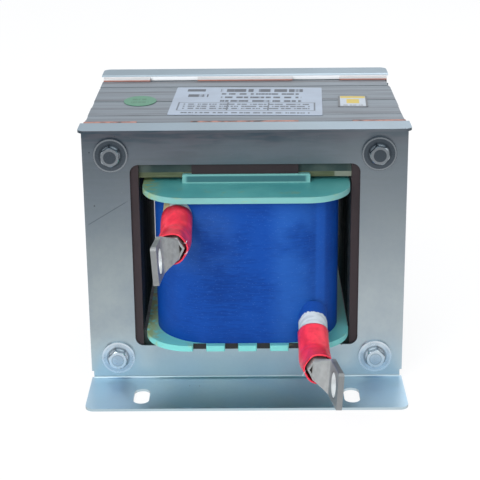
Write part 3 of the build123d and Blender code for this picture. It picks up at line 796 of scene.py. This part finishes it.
# ---------------- fine pieces
class LeadRun:
    """Where a lead runs, from the place and axis of its lug's hole and its two directions."""

    def __init__(self, mount, out, run, before, after):
        record = next(one for one in frame["record"]["mounts"] if one["name"] == mount)
        self.out = Vector(out).normalized()
        self.run = Vector(run).normalized()
        self.facing = Vector(record["axis"]).normalized()
        self.side = self.run.cross(self.facing)
        hole = Vector(record["pos_m"])
        self.mouth = hole - self.run * MOUTH_BEHIND_HOLE * MM + self.facing * MOUTH_OFF_PALM * MM
        self.elbow = self.mouth - self.run * (BARREL_SHOWING + after) * MM
        self.before, self.after = before, after

    def at(self, share):
        """Centre and direction at a share of the sleeve's length, rounded at the elbow."""
        far = share * (self.before + self.after) - self.before
        blend = clamp((far + ELBOW_REACH) / (2 * ELBOW_REACH))
        heading = self.out.lerp(self.run, blend).normalized()
        if far < -ELBOW_REACH:
            return self.elbow + self.out * far * MM, heading
        if far > ELBOW_REACH:
            return self.elbow + self.run * far * MM, heading
        first = self.elbow - self.out * ELBOW_REACH * MM
        last = self.elbow + self.run * ELBOW_REACH * MM
        return first.lerp(self.elbow, blend).lerp(self.elbow.lerp(last, blend), blend), heading

    def point(self, across, side, along):
        """A place in the lug's own frame, in mm."""
        return self.mouth + (self.facing * across + self.side * side + self.run * along) * MM


def add_piece(mesh, finish, smooth=True):
    """Put a mesh on the part, under its own name, and let it ride with it."""
    mesh.materials.append(finish.material)
    for face in mesh.polygons:
        face.use_smooth = smooth
    piece = bpy.data.objects.new(mesh.name, mesh)
    bpy.context.scene.collection.objects.link(piece)
    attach(piece, "root")
    return piece


def sleeve_mesh(name, lead, against_coil):
    """A sleeve shrunk over tape and barrel: round at the root, faintly six-sided over the barrel."""
    shape = bmesh.new()
    outer, inner = [], []
    for step in range(SLEEVE_STEPS + 1):
        share = step / SLEEVE_STEPS
        centre, heading = lead.at(share)
        across = (lead.facing - heading * lead.facing.dot(heading)).normalized()
        side = heading.cross(across)
        mm = share * (lead.before + lead.after)
        shoulder = exp(-((mm - lead.before - 1.5) / 4.0) ** 2)
        crimp = clamp((mm - lead.before - 1.0) / 11.0)
        crimp *= clamp((lead.before + lead.after + 1.0 - mm) / 5.0, low=0.25)
        rims = ([], [])
        for turn in range(SLEEVE_SIDES):
            angle = 2 * pi * turn / SLEEVE_SIDES
            six = cos(6 * angle)
            wave = 0.12 * sin(3 * angle + mm * 0.22) + 0.08 * sin(5 * angle - mm * 0.31)
            radius = SLEEVE_RADIUS + 0.40 * shoulder + crimp * (0.38 * six - 0.20) + wave
            lip = 0.0
            if step == SLEEVE_STEPS:
                lip = -0.9 * cos(angle) + 0.25 * sin(3 * angle)
            ray = across * cos(angle) + side * sin(angle)
            if step == 0 and against_coil:
                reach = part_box("coil_wrap")[0].y - 0.7 * MM - (centre + ray * radius * MM).y
                lip = max(reach / heading.y / MM, -5.0)
            spot = centre + heading * lip * MM
            rims[0].append(shape.verts.new(spot + ray * radius * MM))
            rims[1].append(shape.verts.new(spot + ray * (radius - SLEEVE_WALL) * MM))
        outer.append(rims[0])
        inner.append(rims[1])
    skin(shape, outer)
    skin(shape, inner, flip=True)
    bridge(shape, outer[0], inner[0], True)
    bridge(shape, outer[-1], inner[-1], False)
    return as_mesh(shape, name)


def bridge(shape, first, second, flip):
    """Faces between two closed rings of as many corners."""
    count = len(first)
    for index in range(count):
        after = (index + 1) % count
        corners = [first[index], first[after], second[after], second[index]]
        shape.faces.new(reversed(corners) if flip else corners)


def skin(shape, rings, flip=False, caps=False):
    """Faces along a row of rings, with caps at its ends if it is closed."""
    for first, second in zip(rings, rings[1:]):
        bridge(shape, first, second, flip)
    if caps:
        shape.faces.new(reversed(rings[0]))
        shape.faces.new(rings[-1])


def crown_mesh(name, lead):
    """The swelling of the pressed slope towards the barrel's mouth, laid on the lug."""
    # along the lug, underside, crest, half width at the side, half width of the crest
    sections = (
        (-1.45, 2.4, 4.0, 5.0, 4.1), (-0.1, 2.2, 4.25, 5.5, 4.4), (0.6, 1.8, 3.8, 5.7, 4.7),
        (5.5, -1.4, 0.95, 7.4, 6.6), (9.0, -2.9, -1.75, 8.9, 8.3), (11.2, -3.4, -3.02, 9.5, 9.2),
    )
    shape = bmesh.new()
    rings = []
    for along, low, high, wide, crest in sections:
        left = [(low, -wide), (high - 0.35, 0.1 - wide), (high, -crest)]
        corners = left + [(across, -side) for across, side in reversed(left)]
        rings.append([shape.verts.new(lead.point(across, side, along)) for across, side in corners])
    skin(shape, rings, caps=True)
    bmesh.ops.recalc_face_normals(shape, faces=shape.faces)
    return as_mesh(shape, name)


def cord_mesh(name, points, radius):
    """A thin round thread through a few places."""
    shape = bmesh.new()
    rings = []
    for index, point in enumerate(points):
        ahead = points[min(index + 1, len(points) - 1)] - points[max(index - 1, 0)]
        turn = ahead.to_track_quat("Z", "Y").to_matrix()
        corners = [turn @ Vector((cos(pi * k / 3), sin(pi * k / 3), 0.0)) * radius for k in range(6)]
        rings.append([shape.verts.new(point + corner) for corner in corners])
    skin(shape, rings, caps=True)
    return as_mesh(shape, name)


def thread_mesh(name):
    """The rolled threads on the bolts' ends, behind the nuts."""
    shape = bmesh.new()
    low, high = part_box("rear_washers")
    reach = WASHER_RADIUS * MM
    tip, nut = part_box("clamp_bolts")[1].y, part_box("clamp_nuts")[1].y
    half_turns = int((tip - nut - 0.8 * MM) / (THREAD_PITCH * MM) * 2) + 1
    for x in (low.x + reach, high.x - reach):
        for z in (low.z + reach, high.z - reach):
            rings = []
            for step in range(half_turns):
                y = nut + step * THREAD_PITCH * MM / 2
                radius = (THREAD_CREST if step % 2 else THREAD_ROOT) * MM
                ring = [
                    shape.verts.new((x + radius * cos(pi * k / 12), y, z + radius * sin(pi * k / 12)))
                    for k in range(24)
                ]
                rings.append(ring)
            skin(shape, rings, flip=True)
    return as_mesh(shape, name)


def strands_mesh(name, lead):
    """The ends of fine strands that show in the mouth of the barrel."""
    shape = bmesh.new()
    chance = Random(7)
    frame_turn = Matrix((lead.facing, lead.side, lead.run)).transposed().to_4x4()
    for row, across in enumerate((3.15, 4.15)):
        for column in range(5 - row):
            side = (column - (4 - row) / 2) * 1.02
            if abs(side) * 0.58 + across > 5.1:
                continue
            along = -1.35 + chance.uniform(0.2, 0.9)
            place = Matrix.Translation(lead.point(across, side, along - 0.6))
            bmesh.ops.create_cone(
                shape, cap_ends=True, segments=10, radius1=0.46 * MM, radius2=0.40 * MM,
                depth=1.2 * MM, matrix=place @ frame_turn,
            )
    return as_mesh(shape, name)


# ---------------- operators
class REACTOR_OT_plates(Operator):
    """Finish the two folded brackets"""

    bl_idname = "reactor.plates"
    bl_label = "Brackets"

    def execute(self, context):
        settings = context.scene.reactor.plate
        zinc_plate(settings).dress("front_bracket", "rear_bracket")
        return {"FINISHED"}


class REACTOR_OT_hardware(Operator):
    """Finish the clamping bolts, washers and nuts"""

    bl_idname = "reactor.hardware"
    bl_label = "Clamping hardware"

    def execute(self, context):
        settings = context.scene.reactor.plate
        washers = ("front_washers", "rear_washers", "spring_washers")
        bolts = plated_hardware(settings, "plated bolts", settings.bolt)
        bolts.dress("clamp_bolts", "clamp_nuts")
        plated_hardware(settings, "plated washers", settings.washer).dress(*washers)
        paper = ((0.62, 0.58, 0.44), (0.50, 0.46, 0.34))
        simple_finish("insulating tube", 2.0, paper, (0.6, 0.7), detail=3.0).dress("bolt_sleeves")
        threads = add_piece(thread_mesh("bolt_threads"), bolts)
        return {"FINISHED"}


class REACTOR_OT_core(Operator):
    """Finish the laminated core, its strips and the gap sheet"""

    bl_idname = "reactor.core"
    bl_label = "Core"

    def execute(self, context):
        core_steel(context.scene.reactor.core).dress("e_core_stack", "i_yoke_stack")
        strips = [
            end + "_" + place + "_strip"
            for end in ("front", "rear")
            for place in ("left", "right", "top_centre", "bottom_centre")
        ]
        phenolic(context.scene.reactor.board).dress(*strips)
        gap_board(context.scene.reactor.board).dress("gap_sheet")
        return {"FINISHED"}


class REACTOR_OT_bobbin(Operator):
    """Finish the boards of the bobbin"""

    bl_idname = "reactor.bobbin"
    bl_label = "Bobbin"

    def execute(self, context):
        settings = context.scene.reactor.board
        green_board(settings, "green board, lying", False).dress("lower_flange_board", "upper_flange_board")
        tube = ["tube_" + side + "_board" for side in ("front", "rear", "left", "right")]
        green_board(settings, "green board, standing", True).dress(*tube)
        return {"FINISHED"}


class REACTOR_OT_coil(Operator):
    """Finish the winding and its film wrap"""

    bl_idname = "reactor.coil"
    bl_label = "Coil"

    def execute(self, context):
        settings = context.scene.reactor.coil
        blue_film(settings).dress("coil_wrap")
        turns = (settings.copper, (0.35, 0.15, 0.08))
        copper = simple_finish("copper", (0.5, 0.5, 40.0), turns, (0.35, 0.55), relief=0.05, metallic=0.9)
        copper.dress("winding")
        return {"FINISHED"}


class REACTOR_OT_leads(Operator):
    """Finish the leads, their sleeves and lugs"""

    bl_idname = "reactor.leads"
    bl_label = "Leads"

    def execute(self, context):
        settings = context.scene.reactor.lead
        sleeve_red = red_sleeve(settings)
        ends = (settings.strand, (0.16, 0.13, 0.11))
        strand = simple_finish("strand ends", 1.0, ends, (0.35, 0.55), metallic=0.8)
        tails_white = simple_finish("glass thread", 1.5, ((0.80, 0.84, 0.86), settings.tape), (0.5, 0.7))
        tin = tinned_copper(settings)
        tin.dress("upper_lug", "lower_lug")
        lead_tape(settings, context.scene.reactor.coil).dress("upper_tape_root", "lower_tape_root")
        tan_wire(settings).dress("upper_conductor", "lower_conductor")
        runs = {
            "upper": LeadRun("upper_lug_hole", settings.upper_out, settings.upper_run, *UPPER_SLEEVE),
            "lower": LeadRun("lower_lug_hole", settings.lower_out, settings.lower_run, *LOWER_SLEEVE),
        }
        for place, lead in runs.items():
            node = place + "_heat_shrink"
            sleeve_red.dress(node)
            sleeve = add_piece(sleeve_mesh(place + "_sleeve", lead, place == "upper"), sleeve_red)
            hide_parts(node)
            add_piece(strands_mesh(place + "_strands", lead), strand)
            tails = ((6.3, 2.6, 5.0), (6.0, -3.2, 4.2)) if place == "upper" else ((7.0, 1.0, 2.2),)
            for count, (across, side, length) in enumerate(tails):
                bend = [(0.0, 0.0, -3.0), (0.9, 0.2, -0.8)]
                bend += [(1.9, 0.9, 0.3 * length), (2.6, 2.2, 0.55 * length)]
                points = [lead.point(across + one[0], side + one[1], one[2]) for one in bend]
                add_piece(cord_mesh(f"{place}_tail_{count}", points, TAIL_RADIUS * MM), tails_white)
            crown = add_piece(crown_mesh(place + "_crown", lead), tin, smooth=False)
        return {"FINISHED"}


class REACTOR_OT_labels(Operator):
    """Finish the labels on the top yoke"""

    bl_idname = "reactor.labels"
    bl_label = "Labels"

    def execute(self, context):
        settings = context.scene.reactor.label
        rating_paper(settings).dress("rating_label")
        oval_paper(settings).dress("oval_sticker")
        square_paper(settings).dress("square_sticker")
        return {"FINISHED"}


def rays(tree):
    """Whether a ray comes from the camera or through glass, and whether it is mirrored."""
    seen = tree.node("ShaderNodeLightPath").socket.node.outputs
    camera, through, glossy = [
        Value(tree, seen["Is " + kind + " Ray"]) for kind in ("Camera", "Transmission", "Glossy")
    ]
    return camera.larger(through), glossy


class REACTOR_OT_stage(Operator):
    """Floor, soft studio light and camera"""

    bl_idname = "reactor.stage"
    bl_label = "Stage"

    def execute(self, context):
        settings = context.scene.reactor.stage
        scene = context.scene
        scene.view_settings.view_transform = "Standard"
        self.floor()
        self.world(scene)
        self.lamps(scene, settings)
        self.camera(scene, settings)
        return {"FINISHED"}

    def floor(self):
        """A plain pale floor, brightest round the part."""
        size = 6.0
        mesh = bpy.data.meshes.new("floor")
        corners = [(-size, -size, 0), (size, -size, 0), (size, size, 0), (-size, size, 0)]
        mesh.from_pydata(corners, [], [(0, 1, 2, 3)])
        floor = bpy.data.objects.new("floor", mesh)
        bpy.context.scene.collection.objects.link(floor)
        material = bpy.data.materials.new("pale floor")
        mesh.materials.append(material)
        tree = Tree(material)
        direct, glossy = rays(tree)
        place = tree.node("ShaderNodeTexCoord", output=3)
        far = tree.node("ShaderNodeVectorMath", {"operation": "LENGTH"}, {0: place}, 1)
        pool = tree.blend(far.rise(0.05, 0.68), (1.0, 1.0, 1.0), (0.10, 0.11, 0.125))
        white = tree.node("ShaderNodeEmission", {}, {"Color": (1.0, 1.0, 1.0), "Strength": 1.08})
        bright = tree.node("ShaderNodeEmission", {}, {"Color": pool, "Strength": 0.9})
        pale = tree.node("ShaderNodeBsdfDiffuse", {}, {"Color": (0.85, 0.86, 0.87)})
        shown = tree.node("ShaderNodeMixShader", {}, {0: direct * 0.80, 1: pale, 2: white})
        shown = tree.node("ShaderNodeMixShader", {}, {0: glossy * 0.92, 1: shown, 2: bright})
        tree.node("ShaderNodeOutputMaterial", {}, {"Surface": shown})

    def world(self, scene):
        """White behind the part, even soft light round it."""
        scene.world = bpy.data.worlds.new("studio")
        tree = Tree(scene.world)
        direct, glossy = rays(tree)
        towards = tree.node("ShaderNodeTexCoord", output=0)
        up = Value(tree, tree.node("ShaderNodeSeparateXYZ", {}, {0: towards}).socket.node.outputs[2])
        sky = tree.blend(up.rise(0.04, 0.50), (0.13, 0.145, 0.17), (0.92, 0.98, 1.0))
        light = tree.blend(glossy, (0.62, 0.64, 0.67), sky)
        light = tree.blend(direct, light, (1.0, 1.0, 1.0))
        background = tree.node("ShaderNodeBackground", {}, {"Color": light, "Strength": 1.0})
        tree.node("ShaderNodeOutputWorld", {}, {"Surface": background})

    def lamps(self, scene, settings):
        """Three large soft lamps: a low one in front for the coil, a high one at the left and one behind."""
        middle = (CAD_BOX[0] + CAD_BOX[1]) / 2
        places = (
            ("low front lamp", (-0.30, -1.10, 0.48), 0.8, settings.lamp_power, False),
            ("high front lamp", (-0.55, -0.75, 0.85), 0.7, settings.lamp_power * 0.3, True),
            ("rear lamp", (0.30, 0.70, 0.95), 0.8, settings.lamp_power * 0.25, True),
        )
        for name, place, size, power, mirrored in places:
            lamp = bpy.data.lights.new(name, "AREA")
            lamp.size = size
            lamp.energy = power
            holder = bpy.data.objects.new(name, lamp)
            holder.location = place
            holder.visible_glossy = mirrored
            aim = middle - Vector(place)
            holder.rotation_euler = aim.to_track_quat("-Z", "Y").to_euler()
            scene.collection.objects.link(holder)

    def camera(self, scene, settings):
        """The camera, looking down at the front."""
        view = bpy.data.cameras.new("camera")
        view.lens = settings.lens
        view.shift_y = settings.shift
        view.clip_start = 0.01
        camera = bpy.data.objects.new("camera", view)
        turn = Euler((radians(90) - settings.pitch, 0, settings.yaw)).to_matrix()
        turn = turn @ Matrix.Rotation(settings.roll, 3, "Z")
        camera.matrix_world = Matrix.Translation(settings.place) @ turn.to_4x4()
        scene.collection.objects.link(camera)
        scene.camera = camera


STEPS = (
    REACTOR_OT_plates, REACTOR_OT_hardware, REACTOR_OT_core, REACTOR_OT_bobbin, REACTOR_OT_coil,
    REACTOR_OT_leads, REACTOR_OT_labels, REACTOR_OT_stage,
)


class REACTOR_PT_panel(Panel):
    """Steps and settings of the DC reactor"""

    bl_label = "DC Reactor"
    bl_idname = "REACTOR_PT_panel"
    bl_space_type = "VIEW_3D"
    bl_region_type = "UI"
    bl_category = "DC Reactor"

    def draw(self, context):
        for step in STEPS:
            self.layout.operator(step.bl_idname)


CLASSES = (
    PlateSettings, CoreSettings, BoardSettings, CoilSettings, LeadSettings, LabelSettings,
    StageSettings, ReactorSettings, *STEPS, REACTOR_PT_panel,
)


def register():
    """Register the classes and the settings."""
    for one in CLASSES:
        bpy.utils.register_class(one)
    bpy.types.Scene.reactor = PointerProperty(
        type=ReactorSettings, name="DC reactor", description="Settings of the DC reactor"
    )


def unregister():
    """Undo register."""
    del bpy.types.Scene.reactor
    for one in reversed(CLASSES):
        bpy.utils.unregister_class(one)


def main():
    """Run every step."""
    register()
    for step in STEPS:
        family, name = step.bl_idname.split(".")
        getattr(getattr(bpy.ops, family), name)()


if __name__ == "__main__":
    main()
